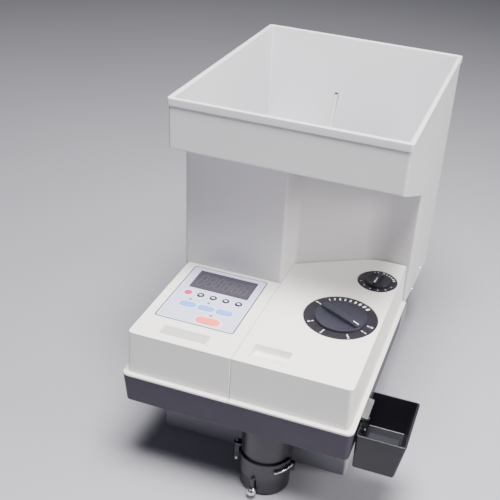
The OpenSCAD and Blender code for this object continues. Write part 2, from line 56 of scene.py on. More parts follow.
class Wire:
    """A node socket that takes part in ordinary arithmetic."""

    def __init__(self, socket):
        self.socket = socket

    def node(self, kind, settings=None, values=None, output=0):
        tree = self.socket.id_data
        made = tree.nodes.new(kind)
        for name, setting in (settings or {}).items():
            setattr(made, name, setting)
        for name, value in (values or {}).items():
            if isinstance(value, Wire):
                tree.links.new(value.socket, made.inputs[name])
            else:
                made.inputs[name].default_value = value
        return Wire(made.outputs[output])

    def maths(self, operation, a, b):
        return self.node("ShaderNodeMath", {"operation": operation}, {0: a, 1: b})

    def __add__(self, other):
        return self.maths("ADD", self, other)

    def __mul__(self, other):
        return self.maths("MULTIPLY", self, other)

    __radd__ = __add__
    __rmul__ = __mul__

    def noise(self, scale, detail=2.0, stretch=None):
        """Cloudy values from 0 to 1, at so many clouds to the metre."""
        place = self
        if stretch:
            place = self.node("ShaderNodeVectorMath", {"operation": "MULTIPLY"}, {0: self, 1: stretch})
        return self.node(
            "ShaderNodeTexNoise", {}, {"Vector": place, "Scale": scale, "Detail": detail}, "Fac"
        )

    def mixed(self, low, high):
        """The colour low where this is 0 and high where it is 1."""
        return self.node("ShaderNodeMix", {"data_type": "RGBA"}, {0: self, 6: (*low, 1), 7: (*high, 1)}, 2)


def start_finish(name, **sockets):
    """A new material, its shader and the place on the piece, with plain values set on the shader."""
    made = bpy.data.materials.new(name)
    made.use_nodes = True
    shader = made.node_tree.nodes["Principled BSDF"]
    for socket, value in sockets.items():
        shader.inputs[socket.replace("_", " ")].default_value = value
    place = Wire(shader.inputs[0]).node("ShaderNodeTexCoord", output="Object")
    return made, shader, place


def feed(shader, height=None, **wires):
    """Joins wires to the shader's sockets; height is a wire and its depth, and makes the relief."""
    tree = shader.id_data
    if height:
        wire, depth = height
        wires["Normal"] = wire.node("ShaderNodeBump", {}, {"Height": wire, "Distance": depth})
    for socket, wire in wires.items():
        tree.links.new(wire.socket, shader.inputs[socket.replace("_", " ")])


def moulded_plastic(name, colour, rough=0.45, grain=1100, depth=0.00006, shade=0.93, coat=0.0):
    """A textured injection moulding: fine spark-eroded grain, faint flow clouding, handling marks."""
    made, shader, place = start_finish(name, Coat_Weight=coat, Coat_Roughness=0.3)
    clouds = place.noise(9, 4)
    fine = place.noise(grain, 2)
    darker = tuple(c * shade for c in colour)
    feed(
        shader,
        Base_Color=(clouds * 0.8 + fine * 0.2).mixed(darker, colour),
        Roughness=rough - 0.07 + 0.14 * place.noise(34, 3),
        height=(fine, depth),
    )
    return made


def sizes(node):
    """The lowest and highest corners of a CAD node, in millimetres."""
    return [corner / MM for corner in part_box(node)]


def rectangle(x0, y0, x1, y1):
    return [(x0, y0), (x1, y0), (x1, y1), (x0, y1)]


def outline(mesh, corners, cuts, height, arc=6):
    """A flat face whose corners are rounded; each cut is how far from the corner its curve starts."""
    before = set(mesh.faces)
    points = [mesh.verts.new((x, y, height)) for x, y in corners]
    mesh.faces.new(points)
    cuts = cuts if isinstance(cuts, (list, tuple)) else [cuts] * len(points)
    for point, cut in zip(points, cuts):
        if cut:
            bmesh.ops.bevel(
                mesh, geom=[point], offset=cut, offset_type="OFFSET", segments=arc,
                profile=0.5, affect="VERTICES", material=-1,
            )
    return [face for face in mesh.faces if face not in before][0]


def rounded(mesh, edges, radius, segments=3):
    """Rounds edges over."""
    bmesh.ops.bevel(
        mesh, geom=list(edges), offset=radius, offset_type="OFFSET", segments=segments,
        profile=0.5, affect="EDGES", material=-1, clamp_overlap=True,
    )


def slab(mesh, corners, cuts, low, high, top=0.0, base=0.0, segments=3, arc=6):
    """A solid of constant plan, with its top and bottom edges rounded by top and base."""
    before = set(mesh.verts)
    face = outline(mesh, corners, cuts, low, arc)
    grown = bmesh.ops.extrude_face_region(mesh, geom=[face])["geom"]
    raised = [g for g in grown if isinstance(g, bmesh.types.BMVert)]
    bmesh.ops.translate(mesh, verts=raised, vec=(0, 0, high - low))
    for height, radius in ((high, top), (low, base)):
        if radius:
            rim = {
                e for v in set(mesh.verts) - before for e in v.link_edges
                if all(abs(end.co.z - height) < 1e-4 for end in e.verts)
            }
            rounded(mesh, rim, radius, segments)
    return mesh


def block(x0, y0, z0, x1, y1, z1, cuts=0, top=0.0, base=0.0, segments=3, arc=6):
    """A new mesh of one rounded block."""
    return slab(bmesh.new(), rectangle(x0, y0, x1, y1), cuts, z0, z1, top, base, segments, arc)


def turned(profile, axis_at=(0, 0), steps=48):
    """Spins a line of (radius, height) points about an upright axis; a closed line makes a ring."""
    mesh = bmesh.new()
    points = [mesh.verts.new((r + axis_at[0], axis_at[1], z)) for r, z in profile]
    line = [mesh.edges.new(pair) for pair in zip(points, points[1:])]
    if profile[0][0] > 0 and profile[-1][0] > 0:
        line.append(mesh.edges.new((points[-1], points[0])))
    bmesh.ops.spin(
        mesh, geom=points + line, cent=(*axis_at, 0), axis=(0, 0, 1), angle=2 * math.pi,
        steps=steps, use_merge=True,
    )
    bmesh.ops.remove_doubles(mesh, verts=mesh.verts, dist=1e-4)
    return mesh


def across(profile, x0, x1):
    """A solid whose outline is drawn as (y, z) points and runs from x0 to x1."""
    mesh = bmesh.new()
    face = mesh.faces.new([mesh.verts.new((x0, y, z)) for y, z in profile])
    grown = bmesh.ops.extrude_face_region(mesh, geom=[face])["geom"]
    bmesh.ops.translate(
        mesh, verts=[g for g in grown if isinstance(g, bmesh.types.BMVert)], vec=(x1 - x0, 0, 0)
    )
    return mesh


def combine(base, join=(), cut=()):
    """Joins solids to a mesh and then cuts others out of it; all of them are used up."""
    work = []
    for number, mesh in enumerate([base, *join, *cut]):
        bmesh.ops.recalc_face_normals(mesh, faces=mesh.faces)
        data = bpy.data.meshes.new("work")
        mesh.to_mesh(data)
        mesh.free()
        work.append(bpy.data.objects.new("work", data))
        bpy.context.scene.collection.objects.link(work[-1])
        if number:
            tool = work[0].modifiers.new("tool", "BOOLEAN")
            tool.operation = "UNION" if number <= len(join) else "DIFFERENCE"
            tool.solver = "EXACT"
            tool.object = work[-1]
    bpy.context.view_layer.update()
    final = work[0].evaluated_get(bpy.context.evaluated_depsgraph_get()).to_mesh()
    made = bmesh.new()
    made.from_mesh(final)
    for helper in work:
        data = helper.data
        bpy.data.objects.remove(helper)
        bpy.data.meshes.remove(data)
    bmesh.ops.remove_doubles(made, verts=made.verts, dist=1e-3)
    bmesh.ops.dissolve_limit(
        made, angle_limit=math.radians(0.4), verts=made.verts, edges=made.edges, delimit={"SHARP"}
    )
    return made


def ease(mesh, radius, sharper_than=50, segments=2, where=None):
    """Breaks every edge that is sharper than the angle, or those of them that where picks."""
    edges = [
        e for e in mesh.edges
        if len(e.link_faces) == 2 and e.calc_face_angle(0) > math.radians(sharper_than)
        and (where is None or where((e.verts[0].co + e.verts[1].co) / 2))
    ]
    rounded(mesh, edges, radius, segments)
    return mesh


def merged(*meshes):
    """Puts separate solids into one mesh."""
    first, *others = meshes
    for other in others:
        data = bpy.data.meshes.new("work")
        other.to_mesh(data)
        other.free()
        first.from_mesh(data)
        bpy.data.meshes.remove(data)
    return first


def as_piece(mesh, name, body, finishes, stands_for, smooth=35):
    """Turns a mesh drawn in millimetres into an object that rides on a body for a CAD node."""
    bmesh.ops.recalc_face_normals(mesh, faces=mesh.faces)
    bmesh.ops.scale(mesh, vec=(MM, MM, MM), verts=mesh.verts)
    for face in mesh.faces:
        face.smooth = True
    for edge in mesh.edges:
        edge.smooth = len(edge.link_faces) != 2 or edge.calc_face_angle(0) < math.radians(smooth)
    data = bpy.data.meshes.new(name)
    mesh.to_mesh(data)
    mesh.free()
    piece = bpy.data.objects.new(name, data)
    bpy.context.scene.collection.objects.link(piece)
    for finish in finishes if isinstance(finishes, (list, tuple)) else [finishes]:
        data.materials.append(finish)
    piece.modifiers.new("Even shading", "WEIGHTED_NORMAL").keep_sharp = True
    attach(piece, body)
    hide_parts(stands_for)


def round_bar(x, y, z0, z1, radius, steps=48):
    """A plain upright cylinder, as a pin or as the core that cuts a hole."""
    return turned([(0, z0), (radius, z0), (radius, z1), (0, z1)], (x, y), steps)


def placed(mesh, at, angle, axis="Z"):
    """Turns a mesh about the origin and then moves it."""
    bmesh.ops.rotate(mesh, verts=mesh.verts, cent=(0, 0, 0), matrix=Matrix.Rotation(angle, 3, axis))
    bmesh.ops.translate(mesh, verts=mesh.verts, vec=at)
    return mesh


def sideways(mesh, at):
    """Lays a mesh that was turned about the upright axis along X, through the point at."""
    return placed(mesh, at, RIGHT_ANGLE, "Y")


def lying_bar(start, end, radius, at, steps=24):
    """A plain cylinder along X, from start to end beside the point at."""
    return sideways(round_bar(0, 0, start, end, radius, steps), at)


def second_finish(*meshes):
    """Gives whole meshes the second of their piece's finishes."""
    for mesh in meshes:
        for face in mesh.faces:
            face.material_index = 1


pan_low, pan_high = sizes("base_pan")
pan_wall = 3
spout_x, spout_y = [(a + b) / 2 for a, b in zip(*sizes("exit_chute"))][:2]
spout_y = sizes("spout_tube")[1].y - 47
spout_r = 40
bolt_spacing = 150
foot_places = [(x, y) for x in (-140, 140) for y in (-170, 262)]
peg_places = (-222, -248)
peg_height = 20
screw_places = (125, 205)
screw_height = 46
inside_tower = 176.5
left_step, right_step = -82, 60
foot_share = (0.987, 0.986)


def pan_block(inset, z0, z1, base):
    """The pan's outline: flush with the covers' lip in front, narrower inside the tower's walls."""
    parts = [
        block(x0 + inset, y0 + inset, z0, x1 - inset, y1 - inset, z1, corner - inset, base=base)
        for x0, y0, x1, y1, corner in (
            (-inside_tower, -290, inside_tower, pan_high.y, 12),
            (pan_low.x, pan_low.y, pan_high.x, left_step, 8),
            (0, pan_low.y, pan_high.x, right_step, 8),
        )
    ]
    for part in parts:
        for vert in part.verts:
            if vert.co.z < pan_high.z / 2:
                vert.co.x *= foot_share[0]
                vert.co.y *= foot_share[1]
    return combine(parts[0], join=parts[1:])


tray = combine(
    pan_block(0, pan_low.z, pan_high.z, 3.5),
    cut=[
        pan_block(pan_wall, pan_wall, pan_high.z + 5, 2),
        round_bar(spout_x, spout_y, -5, 10, spout_r + 0.3, 64),
        block(165, -260, 43.5, 190, -208, 60, 2),
        *[round_bar(x * bolt_spacing, y * bolt_spacing, -5, 10, 3.3, 24) for x in (-1, 1) for y in (-1, 1)],
        *[round_bar(x, y, -5, 10, 2.6, 24) for x, y in foot_places],
        *[lying_bar(-8, 8, 3, (177, y, peg_height)) for y in peg_places],
    ],
)
ease(tray, 0.7)
pan_plastic = moulded_plastic("pan plastic", (0.049, 0.040, 0.062), rough=0.6, grain=900, depth=0.00012)
as_piece(tray, "Base-pan", "chassis", pan_plastic, "base_pan")

# ---- Feet, deck and inner frame ----
# Four moulded rubber feet screwed under the pan, and the zinc-plated sheet deck on turned posts
# that carries the coin path. The deck, posts and screws are the CAD parts with their own finishes.
rubber, shader, place = start_finish("foot rubber", Roughness=0.85)
feed(
    shader,
    Base_Color=place.noise(60, 4).mixed((0.012, 0.012, 0.013), (0.032, 0.031, 0.033)),
    height=(place.noise(1500, 3), 0.00008),
)
foot_low = sizes("foot_pads")[0]
foot_profile = [
    (2.6, foot_low.z + 5), (6, foot_low.z + 5), (6, foot_low.z), (13.4, foot_low.z),
    (15, foot_low.z + 1.6), (17, -3), (16.4, -2), (14, -2), (14, -0.05), (2.6, -0.05),
]
feet = [turned(foot_profile, at) for at in foot_places]
as_piece(merged(*feet), "Rubber-feet", "chassis", rubber, "foot_pads")


def brushed(name, colour, rough=0.32, stretch=(1, 0.02, 1), scale=900, spots=0.0):
    """Sheet or turned metal with a fine grain drawn along one direction and faint cloudy spangle."""
    made, shader, place = start_finish(name, Metallic=1.0)
    grain = place.noise(scale, 2, stretch)
    cloud = place.noise(26, 3)
    dull = tuple(c * 0.82 for c in colour)
    feed(
        shader,
        Base_Color=(grain * (0.6 - spots) + cloud * (0.4 + spots)).mixed(dull, colour),
        Roughness=rough - 0.08 + 0.12 * grain + 0.08 * cloud,
        height=(grain, 0.00002),
    )
    return made


def finish_nodes(finish, *nodes):
    """Gives CAD parts that stay in view their finish."""
    for node in nodes:
        slots = frame["nodes"][node].data.materials
        slots.clear()
        slots.append(finish)


zinc_sheet = brushed("zinc-plated sheet", (0.60, 0.61, 0.63), spots=0.3)
bright_steel = brushed("bright steel", (0.66, 0.66, 0.68), rough=0.26, stretch=(1, 1, 0.05))
finish_nodes(bright_steel, "deck_posts", "foot_screws", "diameter_shaft", "thickness_shaft", "disc_shaft",
             "stop_plunger", "box_pegs")
finish_nodes(zinc_sheet, "deck_plate", "dial_bridge", "guide_rail", "path_bed", "thickness_gate",
             "disc_guard", "belt_frame", "exit_chute", "reject_chute", "drop_chute", "rod_bracket")

# ---- Coin disc, motor, belt, sensor and stop ----
# The works under the lid: a machined aluminium disc with turning rings, its painted motor, the
# green feed belt on two black rollers, the counting sensor and the blue stop solenoid.
disc_metal, shader, place = start_finish("turned aluminium", Metallic=1.0)
disc_low, disc_high = sizes("coin_disc")
centred = place.node(
    "ShaderNodeVectorMath", {"operation": "SUBTRACT"},
    {0: place, 1: ((disc_low.x + disc_high.x) / 2 * MM, (disc_low.y + disc_high.y) / 2 * MM, 0)},
)
rings = centred.node("ShaderNodeTexWave", {"wave_type": "RINGS", "rings_direction": "Z"},
                     {"Vector": centred, "Scale": 240, "Distortion": 0.6, "Detail": 2}, "Fac")
feed(
    shader,
    Base_Color=place.noise(30, 4).mixed((0.60, 0.61, 0.63), (0.76, 0.77, 0.79)),
    Roughness=0.22 + 0.16 * rings,
    height=(rings, 0.00003),
)
finish_nodes(disc_metal, "coin_disc")


def painted(name, colour, rough=0.38, coat=0.15):
    """Sprayed enamel over metal: slight orange peel and a little shading from dust."""
    made, shader, place = start_finish(name, Coat_Weight=coat, Coat_Roughness=0.2)
    dusty = tuple(c * 1.3 + 0.006 for c in colour)
    feed(
        shader,
        Base_Color=place.noise(22, 4).mixed(colour, dusty),
        Roughness=rough - 0.05 + 0.12 * place.noise(60, 3),
        height=(place.noise(420, 2), 0.00007),
    )
    return made


finish_nodes(painted("motor enamel", (0.10, 0.11, 0.13)), "disc_motor", "power_supply")
finish_nodes(painted("coil wrapping", (0.05, 0.13, 0.38), rough=0.3), "stop_solenoid")
works_black = moulded_plastic("works black", (0.020, 0.020, 0.026), rough=0.5)
finish_nodes(works_black, "belt_pulley_front", "belt_pulley_rear", "count_sensor")
belt_rubber, shader, place = start_finish("green belt", Roughness=0.75)
feed(
    shader,
    Base_Color=place.noise(90, 3).mixed((0.02, 0.085, 0.035), (0.035, 0.12, 0.05)),
    height=(place.noise(1600, 2, (1, 0.2, 1)), 0.00008),
)
finish_nodes(belt_rubber, "feed_belt")

# ---- Control cover ----
# The left front cover: a thin-walled moulding in warm pale grey, almost white, with a bright
# rolled lip along its foot, a shallow recess for the keypad film and one for the name plate.
cover_grey = (0.80, 0.79, 0.76)
cover_plastic = moulded_plastic(
    "cover plastic", cover_grey, rough=0.42, grain=1300, depth=0.00004, shade=0.96
)
draft = 2.5
case_low, case_high = sizes("control_cover")
lip = 7
lip_height = 4
left_wall = case_low.x + lip
front_wall = case_low.y + lip
seam = case_high.x
cover_back = case_high.y
cover_top = case_high.z
cover_foot = case_low.z
wall = 3
panel_low, panel_high = sizes("panel_overlay")
plate_low, plate_high = sizes("name_plate")


def lean_in(mesh, outer_x):
    """Gives the outer side and front walls of a cover the draft that lets it leave its mould."""
    for vert in mesh.verts:
        rise = draft * (vert.co.z - cover_foot) / (cover_top - cover_foot)
        if abs(vert.co.x - outer_x) < 8:
            vert.co.x -= math.copysign(rise, outer_x)
        if vert.co.y < front_wall + 8:
            vert.co.y += rise
    return mesh


def edges_near(mesh, test):
    return [e for e in mesh.edges if test((e.verts[0].co + e.verts[1].co) / 2)]


def on_top(at):
    return at.z > cover_top - 0.01


recess_gap = 0.2
shell = block(left_wall, front_wall, cover_foot, seam, cover_back, cover_top, [7, 0.8, 0.8, 0.8])
rounded(
    shell, edges_near(shell, lambda at: on_top(at) and at.x < seam - 1 and at.y < cover_back - 1), 3.4, 4
)
rounded(
    shell, edges_near(shell, lambda at: on_top(at) and (at.x > seam - 1 or at.y > cover_back - 1)), 1.0, 2
)
lean_in(shell, left_wall)
foot_lip = slab(
    bmesh.new(),
    [(case_low.x, case_low.y), (seam, case_low.y), (seam, front_wall + 4), (left_wall + 4, front_wall + 4),
     (left_wall + 4, cover_back), (case_low.x, cover_back)],
    [11, 0, 0, 0, 0, 0], cover_foot, cover_foot + lip_height, top=1.9, base=0.8,
)
hollow = block(
    left_wall + wall + 2, front_wall + wall + 2, 40, seam - wall, cover_back - wall, cover_top - wall, 3
)
shell = combine(
    shell,
    join=[foot_lip],
    cut=[
        hollow,
        block(panel_low.x - recess_gap, panel_low.y - recess_gap, panel_low.z - 0.05,
              panel_high.x + recess_gap, panel_high.y + recess_gap, 140, 5),
        block(panel_low.x + 5, panel_low.y + 6, 100, panel_high.x - 5, panel_high.y - 5, 130, 2),
        block(plate_low.x - recess_gap, plate_low.y - recess_gap, plate_low.z,
              plate_high.x + recess_gap, plate_high.y + recess_gap, 140, 1),
    ],
)
as_piece(shell, "Control-cover", "chassis", cover_plastic, "control_cover")

# ---- Name plate ----
# A thin grey printed plate let into the front of the cover, blank here.
label_grey, shader, place = start_finish("name plate grey", Roughness=0.5)
feed(
    shader,
    Base_Color=place.noise(700, 2, (0.03, 1, 1)).mixed((0.43, 0.43, 0.42), (0.48, 0.48, 0.47)),
    height=(place.noise(900, 2, (0.03, 1, 1)), 0.00002),
)
plate = block(*plate_low, *plate_high, 0.8, top=0.2)
as_piece(plate, "Name-plate", "chassis", label_grey, "name_plate")

# ---- Keypad film and display window ----
# One embossed polycarbonate film in lavender with a dark printed border, pale lines round the
# keys, three lamp dots, and the smoked window over six unlit figures.
def film_ink(name, colour, rough=0.34):
    """Screen-printed ink on the film's fine velvet grain."""
    made, shader, place = start_finish(name, Roughness=rough, Coat_Weight=0.1, Coat_Roughness=0.4)
    soft = tuple(min(1.0, c * 1.06) for c in colour)
    feed(shader, Base_Color=place.noise(40, 3).mixed(colour, soft), height=(place.noise(2200, 2), 0.00002))
    return made


border_ink = film_ink("border ink", (0.10, 0.09, 0.17))
film_colour = film_ink("lavender film", (0.52, 0.52, 0.71))
pale_line = film_ink("pale line", (0.74, 0.75, 0.86))
pink_line = film_ink("pink halo", (0.92, 0.56, 0.64))
blue_line = film_ink("blue halo", (0.62, 0.74, 0.97))
window_low, window_high = sizes("display_window")
film_top = cover_top + 0.1
print_step = 0.05
key_nodes = {
    "key_reset": (pink_line, 3.0, "reset_key"),
    **{f"key_set_{n}": (pale_line, 1.6, f"set_key_{n}") for n in (1, 2, 3, 4)},
    **{f"key_mode_{side}": (blue_line, 2.2, f"mode_key_{side}") for side in ("left", "middle", "right")},
    "key_start": (pink_line, 3.4, "start_key"),
}


def pill(x0, y0, x1, y1, z0, z1, grow=0.0, top=0.0):
    """A block with fully round ends."""
    radius = min(x1 - x0, y1 - y0) / 2 + grow
    return block(x0 - grow, y0 - grow, z0, x1 + grow, y1 + grow, z1, radius - 0.02, top=top, arc=8)


key_gap = 0.3
window_gap = 0.1


def key_holes():
    """Cores for the keys' and the window's openings in the film."""
    made = []
    for node in key_nodes:
        low, high = sizes(node)
        made.append(pill(low.x, low.y, high.x, high.y, 120, 140, key_gap))
    made.append(block(window_low.x - window_gap, window_low.y - window_gap, 120,
                      window_high.x + window_gap, window_high.y + window_gap, 140, 1))
    return made


film_layers = []
for number, (inset, radius) in enumerate([(0, 5), (2.3, 3.4), (3.6, 2.6)]):
    layer = block(
        panel_low.x + inset, panel_low.y + inset, panel_low.z if number == 0
        else film_top + (number - 1) * print_step,
        panel_high.x - inset, panel_high.y - inset, film_top + number * print_step, radius,
    )
    film_layers.append((combine(layer, cut=key_holes()), number))
halo_low = film_top + 2 * print_step
for node, (ink, halo, body) in key_nodes.items():
    low, high = sizes(node)
    ring = pill(low.x, low.y, high.x, high.y, halo_low, halo_low + print_step, halo)
    core = pill(low.x, low.y, high.x, high.y, 120, 140, key_gap)
    film_layers.append((combine(ring, cut=[core]), 3 + [pale_line, pink_line, blue_line].index(ink)))
lamp_r = 2.4
for x, y in ((-124, -182), (-93, -182), (-77, -212)):
    dot = round_bar(x, y, halo_low, halo_low + print_step, lamp_r, 20)
    film_layers.append((dot, 0))
for layer, index in film_layers:
    for face in layer.faces:
        face.material_index = index
film = merged(*[layer for layer, index in film_layers])
inks = [border_ink, pale_line, film_colour, pale_line, pink_line, blue_line]
as_piece(film, "Keypad-film", "chassis", inks, "panel_overlay")

smoked, shader, place = start_finish("smoked window", Roughness=0.12, Coat_Weight=0.3, Coat_Roughness=0.1)
feed(shader, Base_Color=place.noise(50, 3).mixed((0.038, 0.034, 0.050), (0.060, 0.055, 0.070)))
unlit, shader, place = start_finish("unlit figures", Roughness=0.25)
feed(shader, Base_Color=place.noise(70, 2).mixed((0.060, 0.055, 0.066), (0.085, 0.080, 0.092)))
window = [
    block(
        window_low.x, window_low.y, window_low.z, window_high.x, window_high.y, cover_top + 0.05, 1,
        top=0.05
    )
]
figure_w, figure_h, stroke = 9.5, 30, 1.9
slope = 0.1
for figure in range(6):
    left = window_low.x + 7.5 + figure * 14.8
    base = window_low.y + 11
    bars = [(left, base + step * figure_h / 2, figure_w, 0) for step in range(3)]
    bars += [
        (left + side * figure_w, base + step * figure_h / 2, 0, figure_h / 2) for side in (0, 1)
        for step in (0, 1)
    ]
    for x, y, long, tall in bars:
        bar = block(
            x + (0.7 if long else -stroke / 2), y + (0.7 if tall else -stroke / 2), cover_top + 0.05,
            x + (long - 0.7 if long else stroke / 2), y + (tall - 0.7 if tall else stroke / 2),
            cover_top + 0.08, 0.6, arc=1,
        )
        for vert in bar.verts:
            vert.co.x += slope * (vert.co.y - base)
        second_finish(bar)
        window.append(bar)
as_piece(merged(*window), "Display-window", "chassis", [smoked, unlit], "display_window")
board_green, shader, place = start_finish("board lacquer", Roughness=0.35, Coat_Weight=0.4)
feed(shader, Base_Color=place.noise(160, 3).mixed((0.01, 0.10, 0.04), (0.03, 0.17, 0.07)))
finish_nodes(board_green, "control_board")

# ---- Keys ----
# Nine separate caps under the film's openings: a red one, four dark rings with pale centres,
# three blue pills and the long red-orange one, each on its own plunger.
def key_plastic(name, colour, rough=0.3):
    made, shader, place = start_finish(name, Coat_Weight=0.2, Coat_Roughness=0.25)
    light = tuple(min(1.0, c * 1.25 + 0.01) for c in colour)
    feed(
        shader, Base_Color=place.noise(240, 3).mixed(colour, light),
        Roughness=rough - 0.05 + 0.1 * place.noise(300, 2), height=(place.noise(1800, 2), 0.00002),
    )
    return made


key_colours = {
    "key_reset": ("key_red", key_plastic("red key", (0.42, 0.045, 0.13))),
    "key_set": ("key_dark", key_plastic("dark key", (0.018, 0.017, 0.045))),
    "key_mode": ("key_blue", key_plastic("blue key", (0.15, 0.28, 0.68))),
    "key_start": ("key_orange", key_plastic("red-orange key", (0.84, 0.17, 0.11))),
}
key_mark = key_plastic("pale key mark", (0.62, 0.62, 0.76))
mark_w, mark_d = 5.6, 3.2
for node, (ink, halo, body) in key_nodes.items():
    low, high = sizes(node)
    kind = next(k for k in key_colours if node.startswith(k))
    slot, plastic = key_colours[kind]
    middle = (low + high) / 2
    cap_low = cover_top - 1.2
    cap = pill(low.x, low.y, high.x, high.y, cap_low, high.z, top=0.55)
    stem = round_bar(middle.x, middle.y, low.z, cap_low, 2, 16)
    solids = [cap, stem]
    if kind == "key_set":
        mark = pill(middle.x - mark_w / 2, middle.y - mark_d / 2,
                    middle.x + mark_w / 2, middle.y + mark_d / 2, high.z - 0.02, high.z + 0.04)
        second_finish(mark)
        solids.append(mark)
    as_piece(merged(*solids), node.replace("_", "-").capitalize(), body, [plastic, key_mark], node)

# ---- Lid ----
# The right front cover lifts off for cleaning: the same pale moulding, its back edge following
# the curved wall of the recess, with two round openings for the dials and a finger pocket.
lid_low, lid_high = sizes("lid")
lid_left = lid_low.x
lid_right = lid_high.x - lip
lid_back = lid_high.y
lid_foot = lid_low.z
slant = math.radians(31.2)
wall_corner = 115
recess_y = lid_back + 3
turn_radius = 70


def wall_line(offset, left, right):
    """Corners of the recess wall from right to left, moved forwards by offset, and their cuts."""
    corner_y = recess_y - offset
    corner_x = wall_corner + offset * math.tan(slant / 2)
    left_y = recess_y - (wall_corner - left) * math.tan(slant) - offset / math.cos(slant)
    return [
        (right, corner_y), (corner_x, corner_y), (left, left_y)
    ], (turn_radius - offset) * math.tan(slant / 2)


def lid_plan(inset):
    back, turn = wall_line(3 + inset, lid_left + inset, lid_right - inset)
    front = front_wall + inset
    return [(lid_left + inset, front), (lid_right - inset, front), *back], turn


dia_low, dia_high = sizes("diameter_scale")
thk_low, thk_high = sizes("thickness_scale")
dia_centre = (dia_low + dia_high) / 2
thk_centre = (thk_low + thk_high) / 2
dia_r = (dia_high.x - dia_low.x) / 2
thk_r = (thk_high.x - thk_low.x) / 2
passage = (11.5, 68.5)
passage_top = 86
plan, turn = lid_plan(0)
shell = slab(bmesh.new(), plan, [0.8, 7, 1, turn, 0.8], lid_foot, cover_top, arc=7)
rounded(
    shell, edges_near(shell, lambda at: on_top(at) and at.x > lid_left + 1 and at.y < front_wall + 8), 3.4,
    4
)
rounded(
    shell, edges_near(shell, lambda at: on_top(at) and at.x > lid_right - 4 and at.y > front_wall + 8), 3.4,
    4
)
rounded(
    shell,
    edges_near(
        shell, lambda at: on_top(at) and (at.x < lid_left + 1 or at.y > -20 and at.x < lid_right - 5)
    ),
    1.0, 2
)
lean_in(shell, lid_right)
foot_lip = slab(
    bmesh.new(),
    [(lid_left, front_wall - lip), (lid_high.x, front_wall - lip), (lid_high.x, lid_back),
     (lid_right - 4, lid_back), (lid_right - 4, front_wall + 4), (lid_left, front_wall + 4)],
    [0, 11, 1, 0, 0, 0], lid_foot, lid_foot + lip_height, top=1.9, base=0.8,
)
inner_plan, inner_turn = lid_plan(wall)
inner_plan[1] = (inner_plan[1][0] - 2, inner_plan[1][1] + 2)
inner_plan[0] = (inner_plan[0][0], inner_plan[0][1] + 2)
inner_plan[2] = (inner_plan[2][0] - 2, inner_plan[2][1])
hollow = slab(bmesh.new(), inner_plan, [2, 4, 1, inner_turn, 1], 40, cover_top - wall)
pocket = (11, 68)
pocket_box = block(pocket[0] - 3, -284, cover_top - 17, pocket[1] + 3, -247, cover_top - 1, 4)
scoop = across(
    [(-281, cover_top + 3), (-281, cover_top - 1.6), (-260, cover_top - 13), (-250, cover_top - 13),
     (-250, cover_top + 3)],
    *pocket,
)
rounded(
    scoop, edges_near(scoop, lambda at: abs(at.z - (cover_top - 13)) < 0.1 and abs(at.x - 39.5) < 20), 2.5,
    3
)
shell = combine(shell, join=[foot_lip], cut=[hollow])
shell = combine(
    shell,
    join=[pocket_box],
    cut=[
        scoop,
        round_bar(dia_centre.x, dia_centre.y, 100, 140, dia_r + 1, 96),
        round_bar(thk_centre.x, thk_centre.y, 100, 140, thk_r + 1, 72),
        block(passage[0], -40, 30, passage[1], 80, passage_top, 0),
        block(-170, -292, 40, 170, 290, lid_foot + 9.3, 0),
    ],
)
ease(shell, 0.7, where=lambda at: at.z > cover_top - 0.3)
as_piece(shell, "Lift-off-lid", "lift_lid", cover_plastic, "lid")

# ---- Dials ----
# Two black printed scale plates on a bridge under the lid, seen through its openings, and the
# low turning knobs: a wide dished one with a finger bar, and a small one with a white pointer.
dial_black = moulded_plastic("dial black", (0.013, 0.011, 0.017), rough=0.36, grain=1500, depth=0.00003)
knob_black = moulded_plastic(
    "knob black", (0.020, 0.021, 0.032), rough=0.34, grain=1500, depth=0.00003, shade=0.8
)
dial_white, shader, place = start_finish("dial white", Roughness=0.45)
feed(shader, Base_Color=place.noise(300, 3).mixed((0.74, 0.74, 0.76), (0.86, 0.86, 0.87)))
print_height = 0.06
face_z = dia_high.z


def polar(centre, radius, degrees):
    angle = math.radians(degrees)
    return Vector((centre.x + radius * math.cos(angle), centre.y + radius * math.sin(angle), 0))


def radial_bar(centre, inner, outer, degrees, width):
    """A printed line that points at the dial's centre."""
    bar = block(inner, -width / 2, face_z, outer, width / 2, face_z + print_height, width * 0.3, arc=1)
    return placed(bar, (centre.x, centre.y, 0), math.radians(degrees))


def numeral(words, size, at, degrees):
    """A printed figure, its foot towards the dial's centre."""
    curve = bpy.data.curves.new("figure", "FONT")
    curve.body, curve.size, curve.extrude = words, size, print_height / 2
    curve.align_x = curve.align_y = "CENTER"
    curve.resolution_u = 3
    curve.offset = size * 0.012
    holder = bpy.data.objects.new("figure", curve)
    bpy.context.scene.collection.objects.link(holder)
    bpy.context.view_layer.update()
    made = bmesh.new()
    made.from_mesh(holder.evaluated_get(bpy.context.evaluated_depsgraph_get()).to_mesh())
    bpy.data.objects.remove(holder)
    bpy.data.curves.remove(curve)
    return placed(made, (at.x, at.y, face_z + print_height / 2), math.radians(degrees))


def scale_plate(name, node, centre, radius, low, high, bore, prints):
    """A black disc with its white printing."""
    plate = turned([(bore, low), (radius, low), (radius, high - 0.4), (radius - 0.4, high), (bore, high)],
                   (centre.x, centre.y), 96)
    second_finish(*prints)
    as_piece(merged(plate, *prints), name, "chassis", [dial_black, dial_white], node)


